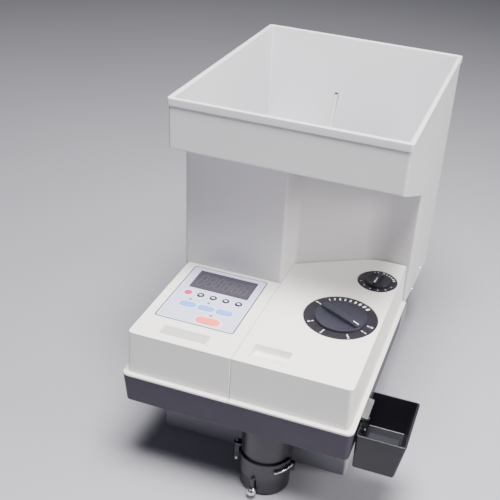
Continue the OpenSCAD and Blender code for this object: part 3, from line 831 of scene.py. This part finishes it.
stations = {150: "5", 215: "4", 251: "3", 298: "2", 331: "1", 352: "0"}
prints = []
for degrees, figure in stations.items():
    prints.append(radial_bar(dia_centre, 44.5, 48.5, degrees, 1.5))
    prints.append(
        numeral(
            figure, 7.2, polar(dia_centre, 52.5, degrees), degrees - 90 if degrees < 180 else degrees + 90
        )
    )
for number in range(9):
    degrees = 126 - number * 9.8
    prints.append(radial_bar(dia_centre, 47.6, 52.6 + 0.25 * number, degrees, 1.6 + 0.35 * number))
scale_plate(
    "Diameter-scale", "diameter_scale", dia_centre, dia_r, dia_low.z, dia_high.z, 6.05, prints
)
prints = []
for number, figure in enumerate("654321"):
    degrees = 200 + number * 28
    prints.append(numeral(figure, 5.0, polar(thk_centre, 27.6, degrees), degrees + 90))
for number in range(9):
    degrees = 112 - number * 11
    prints.append(radial_bar(thk_centre, 26.6, 29.4 + 0.12 * number, degrees, 1.1 + 0.15 * number))
scale_plate(
    "Thickness-scale", "thickness_scale", thk_centre, thk_r, thk_low.z, thk_high.z, 5.05,
    prints
)


def dished_knob(name, node, body, degrees, radius, rim, bar_w, bore, shaft, pointer):
    """A low knob: a rolled rim, a dish each side of a finger bar, and a white pointer line."""
    low, high = sizes(node)
    shaft_top = sizes(shaft)[1].z + 0.1
    centre = (low + high) / 2
    base = low.z
    rim_top = base + rim
    dish = turned(
        [(0, base), (radius, base), (radius, rim_top - 1.2),
         (radius - 0.5, rim_top - 0.3), (radius - 1.6, rim_top),
         (radius - 3, rim_top - 0.2), (radius - 5, rim_top - 1.0), (radius * 0.55, base + 1.4),
         (0, base + 1.0)],
        steps=96,
    )
    bar_l = radius - 1.5
    bar = block(-bar_l, -bar_w / 2, base, bar_l, bar_w / 2, high.z, bar_w * 0.35, top=1.1)
    waist = 0.82
    for vert in bar.verts:
        if vert.co.z > base + 0.6 * (high.z - base):
            vert.co.y *= waist
    knob = combine(dish, join=[bar], cut=[round_bar(0, 0, base - 1, shaft_top, bore, 32)])
    line = block(pointer[0], -0.75, high.z - 0.02, pointer[1], 0.75, high.z + 0.05, 0.4, arc=1)
    second_finish(line)
    made = placed(merged(knob, line), (centre.x, centre.y, 0), math.radians(degrees))
    as_piece(made, name, body, [knob_black, dial_white], node)


dished_knob(
    "Diameter-knob", "diameter_knob", "diameter_dial", -28, 41, 3.2, 15, 4.02, "diameter_shaft", (26, 37.5)
)
dished_knob(
    "Thickness-knob", "thickness_knob", "thickness_dial", -96, 21, 3.4, 8, 3.02, "thickness_shaft",
    (2, 18.5)
)

# ---- Bag spout and clamp ----
# A welded black-enamelled steel tube below the coin path. The bag's neck is drawn over it and
# held by a hinged jaw that swings on a chrome pin, with a ball handle and a sprung wire.
spout_black = painted("spout enamel", (0.011, 0.011, 0.017), rough=0.36, coat=0.25)
spout_low, spout_high = sizes("spout_tube")
inner_r = spout_r - 3
tube = turned(
    [(inner_r, spout_low.z + 1.2), (inner_r + 0.6, spout_low.z + 0.2), (inner_r + 1.5, spout_low.z),
     (spout_r - 0.8, spout_low.z + 0.3), (spout_r, spout_low.z + 1.4), (spout_r, 3), (spout_r + 7, 3),
     (spout_r + 7, 6), (spout_r, 6), (spout_r, spout_high.z), (inner_r, spout_high.z)],
    (spout_x, spout_y), 96,
)
pin_low, pin_high = sizes("clamp_pin")
pin = (pin_low + pin_high) / 2
lugs = []
for height in (-93, -71):
    lug = round_bar(pin.x, pin.y, height, height + 6, 6, 32)
    web = block(pin.x, pin.y - 6, height, pin.x + 16, pin.y + 6, height + 6)
    lugs.append(
        combine(
            lug, join=[web],
            cut=[
                round_bar(pin.x, pin.y, -110, -50, 2.5, 24),
                round_bar(spout_x, spout_y, -140, 0, inner_r + 0.5, 96)
            ]
        )
    )
boss = block(
    spout_x + inner_r - 0.5, spout_y - 8, -92, spout_x + spout_r + 8, spout_y + 4, -80, 2, top=1, base=1
)
trim = block(spout_x - 60, -315, 2.5, spout_x + 60, -293, 25)
tube = combine(tube, join=[*lugs, boss], cut=[trim])
ease(
    tube, 0.5, where=lambda at: at.z < -60 and (at - Vector((spout_x, spout_y, at.z))).length > spout_r + 1
)
as_piece(tube, "Bag-spout", "chassis", spout_black, "spout_tube")

ball_low, ball_high = sizes("clamp_knob")
ball = (ball_low + ball_high) / 2
ball_r = 7.6
jaw = turned(
    [(spout_r + 0.6, -97.4), (spout_r + 1.4, -98), (spout_r + 3.3, -98), (spout_r + 4, -97.3),
     (spout_r + 4, -64.7), (spout_r + 3.3, -64), (spout_r + 1.4, -64), (spout_r + 0.6, -64.6)],
    (spout_x, spout_y), 96,
)
hinge_low, hinge_high = -86.4, -71.6
hinge = round_bar(pin.x, pin.y, hinge_low, hinge_high, 6, 32)
knuckle = block(pin.x, pin.y - 6, hinge_low, spout_x - spout_r + 1, pin.y, hinge_high)
stalk = turned(
    [(0, -112), (3.5, -112), (3.5, -93.2), (2.6, -92), (0, -92)], (spout_x - 6, spout_y - spout_r - 5), 24
)
jaw = combine(
    jaw,
    cut=[
        block(-60, spout_y - 9, -110, 130, spout_y + 70, -50),
        block(-60, spout_y - 24, -100, spout_x - 34, spout_y + 10, hinge_low),
        block(-60, spout_y - 24, hinge_high, spout_x - 34, spout_y + 10, -60),
    ],
)
jaw = combine(
    jaw, join=[hinge, knuckle, stalk],
    cut=[round_bar(pin.x, pin.y, -110, -50, 2.55, 24),
         round_bar(spout_x, spout_y, -100, -60, spout_r + 0.6, 96),
         round_bar(spout_x, spout_y, -120, -98.9, spout_r - 3, 64)],
)
as_piece(jaw, "Clamp-jaw", "bag_clamp", spout_black, "clamp_arm")
chrome, shader, place = start_finish("chrome plate", Metallic=1.0)
feed(
    shader,
    Base_Color=place.noise(40, 3).mixed((0.74, 0.73, 0.72), (0.84, 0.84, 0.85)),
    Roughness=0.09 + 0.12 * place.noise(220, 3),
)
knob_ball = bmesh.new()
bmesh.ops.create_uvsphere(knob_ball, u_segments=40, v_segments=24, radius=ball_r)
bmesh.ops.translate(knob_ball, verts=knob_ball.verts, vec=(ball.x, ball.y, ball_low.z + ball_r))
collar = turned([(0, -112.4), (4.6, -112.4), (4.6, -110.6), (4.1, -110), (0, -110)], (ball.x, ball.y), 24)
socket = round_bar(spout_x - 6, spout_y - spout_r - 5, -112.02, -100, 3.53, 24)
as_piece(
    combine(knob_ball, join=[collar], cut=[socket]), "Clamp-ball", "bag_clamp", chrome, "clamp_knob",
)
pin_body = turned(
    [
        (0, -102), (3.4, -102), (4.2, -101.2), (4.2, -96.7), (3.5, -96), (2.48, -96), (2.48, -62.7),
        (1.8, -62), (0, -62)
    ],
    (pin.x, pin.y), 32,
)
slot_cut = block(pin.x - 6, pin.y - 0.6, -104, pin.x + 6, pin.y + 0.6, -101)
as_piece(combine(pin_body, cut=[slot_cut]), "Clamp-pin", "chassis", chrome, "clamp_pin")
wire = bmesh.new()
bmesh.ops.create_circle(wire, cap_ends=True, radius=2.3, segments=24)
placed(wire, (spout_r + 6.3, 0, 0), RIGHT_ANGLE, "X")
bmesh.ops.spin(wire, geom=wire.verts[:] + wire.edges[:] + wire.faces[:], cent=(0, 0, 0), axis=(0, 0, 1),
               angle=math.radians(44), steps=24, use_merge=False)
placed(wire, (spout_x, spout_y, -76), math.radians(-56))
as_piece(wire, "Clamp-wire", "bag_clamp", chrome, "clamp_wire")

# ---- Reject box ----
# A small black tray that hooks on two pegs beside the pan and catches rejected coins; its front
# part has a closed step just below the rim.
box_black = moulded_plastic(
    "box black", (0.008, 0.008, 0.014), rough=0.42, grain=1400, depth=0.00003, shade=0.75, coat=0.05
)
box_low, box_high = sizes("reject_box")
box_wall = 2.5
side_taper, end_taper = 11.5, 3
outer = block(*box_low, *box_high, 4, top=1.0, base=3)
inner = block(box_low.x + box_wall, box_low.y + box_wall, box_low.z + box_wall,
              box_high.x - box_wall, box_high.y - box_wall, box_high.z + 6, 3, base=2)


def box_taper(mesh):
    """The foot of the box is narrower than its mouth."""
    for vert in mesh.verts:
        fall = min(1.0, (box_high.z - vert.co.z) / (box_high.z - box_low.z))
        if fall > 0 and vert.co.x > (box_low.x + box_high.x) / 2:
            vert.co.x -= side_taper * fall
        if fall > 0:
            vert.co.y += math.copysign(end_taper * fall, (box_low.y + box_high.y) / 2 - vert.co.y)
    return mesh


step_block = block(199, box_low.y + 2, box_low.z + 3, 245, box_low.y + 18, box_high.z - 3, 1.5, top=0.8)
collars = [lying_bar(0.2, 6, 6, (box_low.x, y, peg_height), 32) for y in peg_places]
peg_holes = [lying_bar(-1, 7, 3.05, (box_low.x, y, peg_height)) for y in peg_places]
tub = combine(box_taper(outer), cut=[box_taper(inner)])
tub = combine(tub, join=[step_block, *collars], cut=peg_holes)
ease(tub, 0.5, where=lambda at: at.z > box_high.z - 6 and at.z < box_high.z + 1)
as_piece(tub, "Reject-box", "coin_box", box_black, "reject_box")

# ---- Tower and hopper shell ----
# One big moulding: the block behind the keypad, the curved recess over the lid and
# the overhanging hopper, its foot cut away along the pan. The outer corners are crisp. Its grey is the
# covers' pale plastic made darker and cooler as painted shade.
tower_plastic_painted_shade = moulded_plastic(
    "tower plastic painted shade", (0.60, 0.59, 0.605), rough=0.46, grain=1200, depth=0.00005, shade=0.96
)
tower_low, tower_high = sizes("tower_housing")
bin_high = sizes("hopper_bin")[1]
tower_hw = tower_high.x
block_front = -80
hopper_front = tower_low.y
hopper_foot = 357
floor_fall = 0.44
rear_wall = tower_high.y
shell_top = tower_high.z


def tower_plan(inset):
    back, turn = wall_line(-inset, seam_line - inset, tower_hw - inset)
    corners = [(-tower_hw + inset, block_front + inset), (seam_line - inset, block_front + inset),
               *reversed(back),
               (tower_hw - inset, rear_wall - inset), (-tower_hw + inset, rear_wall - inset)]
    return corners, [5 - inset, 4 - inset, 5 + inset, turn, 5 - inset, 5 - inset, 5 - inset]


def hopper_body(inset, top):
    """A rounded block with its underside cut along the slope of the hopper floor."""
    made = block(
        -tower_hw + inset, hopper_front + inset, 120, tower_hw - inset, rear_wall - inset, top, 5 - inset
    )
    normal = Vector((0, -floor_fall, -1)).normalized()
    bmesh.ops.bisect_plane(
        made, geom=made.verts[:] + made.edges[:] + made.faces[:],
        plane_co=(0, hopper_front + inset, hopper_foot + 1.1 * inset), plane_no=normal, clear_outer=True,
    )
    bmesh.ops.holes_fill(made, edges=[e for e in made.edges if len(e.link_faces) == 1])
    return made


seam_line = -9
corners, cuts = tower_plan(0)
tower = slab(bmesh.new(), corners, cuts, 1, shell_top - 12, arc=8)
head = hopper_body(0, shell_top)
rounded(head, [e for e in head.edges if len(e.link_faces) == 2 and e.calc_face_angle(0) > 0.9
               and all(v.co.z < hopper_foot + 1 for v in e.verts)
               and abs(e.verts[0].co.z - e.verts[1].co.z) < 3], 2.2, 3)
tower = combine(tower, join=[head])
inner_corners, inner_cuts = tower_plan(wall)
tower_room = slab(bmesh.new(), inner_corners, inner_cuts, -5, shell_top + 5, arc=8)
foot_cut = across(
    [(lid_back + 2, pan_high.z), (rear_wall + 5, 8), (rear_wall + 5, -5), (-150, -5), (-150, pan_high.z)],
    -tower_hw - 5, tower_hw + 5,
)
panel_back_low, panel_back_high = sizes("rear_panel")
tower = combine(
    tower,
    cut=[
        tower_room, hopper_body(wall, shell_top + 8), foot_cut,
        block(-170, -90, 30, 170, 290, lid_foot + 9.3),
        block(passage[0], -30, 30, passage[1], 60, passage_top),
        block(panel_back_low.x - recess_gap, rear_wall - 8, panel_back_low.z - recess_gap,
              panel_back_high.x + recess_gap, rear_wall + 5, panel_back_high.z + recess_gap),
        *[lying_bar(-8, 8, 2.1, (side * tower_hw, y, screw_height), 20)
          for side in (-1, 1) for y in screw_places],
    ],
)
as_piece(tower, "Tower-housing", "chassis", tower_plastic_painted_shade, "tower_housing")

# ---- Hopper bin ----
# The coin bin hangs inside the shell: a rolled rim band round the mouth, upright walls and a
# floor that slopes from all sides into the outlet over the disc, with a slot for the level rod.
# The bin's darker, bluish grey is painted shade: the covers' pale plastic coloured as it looks in the shade
# inside the hopper.
bin_plastic_painted_shade = moulded_plastic(
    "hopper plastic painted shade", (0.56, 0.565, 0.595), rough=0.44, grain=1100, depth=0.00005, shade=0.95
)


def round_loop(mesh, x0, y0, x1, y1, radius, height, fall=0.0, sides=40):
    """A rounded rectangle of edges; fall is how far it drops for each millimetre towards the rear."""
    ring = bmesh.ops.create_circle(mesh, cap_ends=False, radius=radius, segments=sides)["verts"]
    bmesh.ops.rotate(mesh, verts=ring, cent=(0, 0, 0), matrix=Matrix.Rotation(math.pi / sides, 3, "Z"))
    reach = ((x1 - x0) / 2 - radius, (y1 - y0) / 2 - radius)
    for vert in ring:
        vert.co.x += math.copysign(reach[0], vert.co.x)
        vert.co.y += math.copysign(reach[1], vert.co.y)
    bmesh.ops.translate(mesh, verts=ring, vec=((x0 + x1) / 2, (y0 + y1) / 2, height))
    for vert in ring:
        vert.co.z -= fall * (vert.co.y - y0)
    return list({e for v in ring for e in v.link_edges})


rim_h = 12
rim_top = bin_high.z
rim_foot = rim_top - rim_h
bin_hw = 176.7
bin_front, bin_rear = -137.7, 296.8
bin_wall = 3
mouth = (-55, 170, 95, 272)
rear_floor = 250
slope_fall = (hopper_foot + 6 - rear_floor) / (bin_rear - bin_front)
tub = bmesh.new()


def tub_loop(grow, height, radius, fall=0.0):
    return round_loop(
        tub, -bin_hw - grow, bin_front - grow, bin_hw + grow, bin_rear + grow, radius, height, fall
    )


def mouth_loop(grow, height):
    return round_loop(
        tub, mouth[0] - grow, mouth[1] - grow, mouth[2] + grow, mouth[3] + grow, 5 + grow, height
    )


rim_out = bin_high.x - bin_hw
loops = [
    mouth_loop(0, 228), mouth_loop(0, 235), mouth_loop(1.5, 237),
    tub_loop(-bin_wall - 4, hopper_foot + 9.5, 1, slope_fall),
    tub_loop(-bin_wall - 1.2, hopper_foot + 11, 2, slope_fall),
    tub_loop(-bin_wall, hopper_foot + 14, 2.5, slope_fall),
    tub_loop(-bin_wall, rim_top - 2, 2.5), tub_loop(-bin_wall + 0.5, rim_top - 0.8, 2.8),
    tub_loop(-bin_wall + 1.4, rim_top - 0.1, 3.2),
    tub_loop(-bin_wall + 2.2, rim_top, 3.5), tub_loop(rim_out - 2, rim_top, 4),
    tub_loop(rim_out - 0.6, rim_top - 0.5, 4.5),
    tub_loop(rim_out, rim_top - 1.8, 5), tub_loop(rim_out, rim_foot + 0.8, 5),
    tub_loop(rim_out - 0.8, rim_foot, 4.4),
    tub_loop(0, rim_foot, 3.6), tub_loop(0, hopper_foot + 6, 3.6, slope_fall), mouth_loop(3, 232),
    mouth_loop(3, 228),
]
for inner_loop, outer_loop in zip(loops, loops[1:] + loops[:1]):
    bmesh.ops.bridge_loops(tub, edges=inner_loop + outer_loop)
pivot = Vector(next(j for j in frame["joints"] if j["name"] == "rod_tilt")["pos_m"]) / MM
tub = combine(tub, cut=[block(pivot.x - 7, pivot.y - 24, 215, pivot.x + 12, pivot.y + 24, 330, 5.9)])
as_piece(tub, "Hopper-bin", "chassis", bin_plastic_painted_shade, "hopper_bin")

# ---- Level rod ----
# The chromed feeler that leans when coins stand against it, tipping a switch under the bin.
rod_lean = math.radians(5)
feeler = turned(
    [(0, 0), (3.5, 0), (3.5, 156.2), (4.2, 157.2), (4.2, 165.8), (3.6, 166.8), (0, 167)], steps=32
)
placed(feeler, pivot, rod_lean, "Y")
hub = sideways(turned([(0, -6), (6.5, -6), (7, -5.5), (7, 5.5), (6.5, 6), (0, 6)], steps=40), pivot)
axle = lying_bar(-12, 12, 2.5, pivot)
nickel, shader, place = start_finish("nickel plate", Metallic=1.0)
feed(
    shader,
    Base_Color=place.noise(30, 3).mixed((0.66, 0.62, 0.56), (0.80, 0.77, 0.72)),
    Roughness=0.16 + 0.16 * place.noise(500, 2, (1, 1, 0.05)),
)
as_piece(combine(feeler, join=[hub, axle]), "Level-rod", "level_sensor", nickel, "level_rod")

# ---- Rear panel, inlet, switch and case screws ----
# A painted steel plate closes the tower's back, with louvres, the mains inlet and the switch;
# four slotted chrome screws hold the tower's foot to the pan.
rear_paint = painted("rear panel paint", (0.34, 0.34, 0.355), rough=0.42, coat=0.1)
inlet_low, inlet_high = sizes("power_inlet")
backplate = block(*panel_back_low, *panel_back_high)
louvres = [block(-100 + i * 9, rear_wall - 6, 130, -96 + i * 9, rear_wall + 3, 185) for i in range(9)]
inlet_hole = block(40, rear_wall - 6, 84, 68, rear_wall + 3, 106)
switch_hole = block(76, rear_wall - 6, 86, 97, rear_wall + 3, 104)
heads = []
for x in (panel_back_low.x + 8, panel_back_high.x - 8):
    for z in (panel_back_low.z + 8, panel_back_high.z - 8):
        head = turned([(0, 0), (3.4, 0), (3.2, 0.5), (1.8, 0.9), (0, 1.0)], steps=24)
        heads.append(placed(head, (x, rear_wall - 0.02, z), -RIGHT_ANGLE, "X"))
second_finish(*heads)
backplate = combine(backplate, cut=[*louvres, inlet_hole, switch_hole])
ease(backplate, 0.35)
as_piece(
    merged(backplate, *heads), "Rear-panel", "chassis", [rear_paint, bright_steel], "rear_panel",
)
socket_black = moulded_plastic("socket black", (0.014, 0.014, 0.016), rough=0.4, grain=1500, depth=0.00003)
flange = block(inlet_low.x, rear_wall, inlet_low.z, inlet_high.x, inlet_high.y, inlet_high.z)
ease(flange, 0.8, where=lambda at: at.y > rear_wall + 1)
can = block(40.2, rear_wall - 24, 84.2, 67.8, rear_wall + 1, 105.8)
cavity = block(43, rear_wall - 18, 87, 65, rear_wall + 6, 103, 2)
blades = [block(x - 1, rear_wall - 20, 93, x + 1, rear_wall - 4, 97, 0.4) for x in (47, 54, 61)]
second_finish(*blades)
inlet = combine(flange, join=[can], cut=[cavity])
as_piece(
    merged(inlet, *blades), "Mains-inlet", "chassis", [socket_black, bright_steel], "power_inlet",
)
rocker_at = (86.5, rear_wall - 2, 95)
rocker = sideways(
    turned([(0, -9.5), (7.4, -9.5), (7.8, -9.1), (7.8, 9.1), (7.4, 9.5), (0, 9.5)], steps=64), rocker_at
)
rocker = combine(rocker, cut=[block(70, rear_wall - 20, 80, 100, rear_wall - 2, 110)])
spindle = lying_bar(-9.5, 9.5, 3, rocker_at)
as_piece(
    combine(rocker, join=[spindle]), "Mains-switch", "switch_rocker", socket_black, "power_switch",
)
screws = []
for side in (-1, 1):
    for y in screw_places:
        head = turned(
            [(0, -9), (2, -9), (2, 0), (4.2, 0), (4.2, 1.6), (3.4, 2.6), (1.8, 3), (0, 3)], steps=32
        )
        head = combine(head, cut=[block(-5, -0.55, 1.9, 5, 0.55, 4)])
        if side < 0:
            placed(head, (0, 0, 0), math.pi, "Y")
        screws.append(sideways(head, (side * tower_hw, y, screw_height)))
as_piece(merged(*screws), "Case-screws", "chassis", chrome, "case_screws")

# ---- Floor, stand block, light and camera ----
# A pale studio floor, with a plain block under the feet because the spout hangs below the base.
floor_z = spout_low.z - 1
studio, shader, place = start_finish("studio floor", Roughness=0.8)
feed(shader, Base_Color=place.noise(1.5, 2).mixed((0.31, 0.31, 0.35), (0.34, 0.34, 0.38)))
for name, mesh in (
    ("Floor", block(-4000, -3000, floor_z - 40, 4000, 5000, floor_z)),
    ("Stand-block", block(-160, -200, floor_z, 160, 285, foot_low.z - 0.02, 4)),
):
    bmesh.ops.scale(mesh, vec=(MM, MM, MM), verts=mesh.verts)
    data = bpy.data.meshes.new(name)
    mesh.to_mesh(data)
    mesh.free()
    data.materials.append(studio)
    ground = bpy.data.objects.new(name, data)
    bpy.context.scene.collection.objects.link(ground)

world = bpy.data.worlds.new("studio")
bpy.context.scene.world = world
world.use_nodes = True
world.node_tree.nodes["Background"].inputs["Color"].default_value = (0.86, 0.90, 1.0, 1)
world.node_tree.nodes["Background"].inputs["Strength"].default_value = 0.09
for name, at, aim, size, power, colour in (
    ("Overhead", (0.2, -0.42, 2.1), (0.0, -0.1, 0.1), 0.9, 165, (1.0, 0.985, 0.965)),
    ("Right", (1.9, -0.1, 1.0), (0.0, 0.0, 0.2), 1.0, 52, (1.0, 0.96, 0.92)),
    ("Front fill", (-0.9, -1.9, 0.9), (0.0, -0.1, 0.15), 1.6, 2.5, (0.84, 0.74, 1.0)),
):
    lamp = bpy.data.lights.new(name, "AREA")
    lamp.size, lamp.energy, lamp.color = size, power, colour
    light = bpy.data.objects.new(name, lamp)
    light.location = at
    light.rotation_euler = (Vector(aim) - Vector(at)).to_track_quat("-Z", "Y").to_euler()
    bpy.context.scene.collection.objects.link(light)

lens = bpy.data.cameras.new("Camera")
lens.lens, lens.sensor_width = 59.8, 36
lens.shift_x, lens.shift_y = -0.105, 0.031
camera = bpy.data.objects.new("Camera", lens)
camera.location = (0.32247, -1.17836, 0.86480)
camera.rotation_euler = [math.radians(a) for a in (58.539, -4.330, 17.797)]
bpy.context.scene.collection.objects.link(camera)
bpy.context.scene.camera = camera
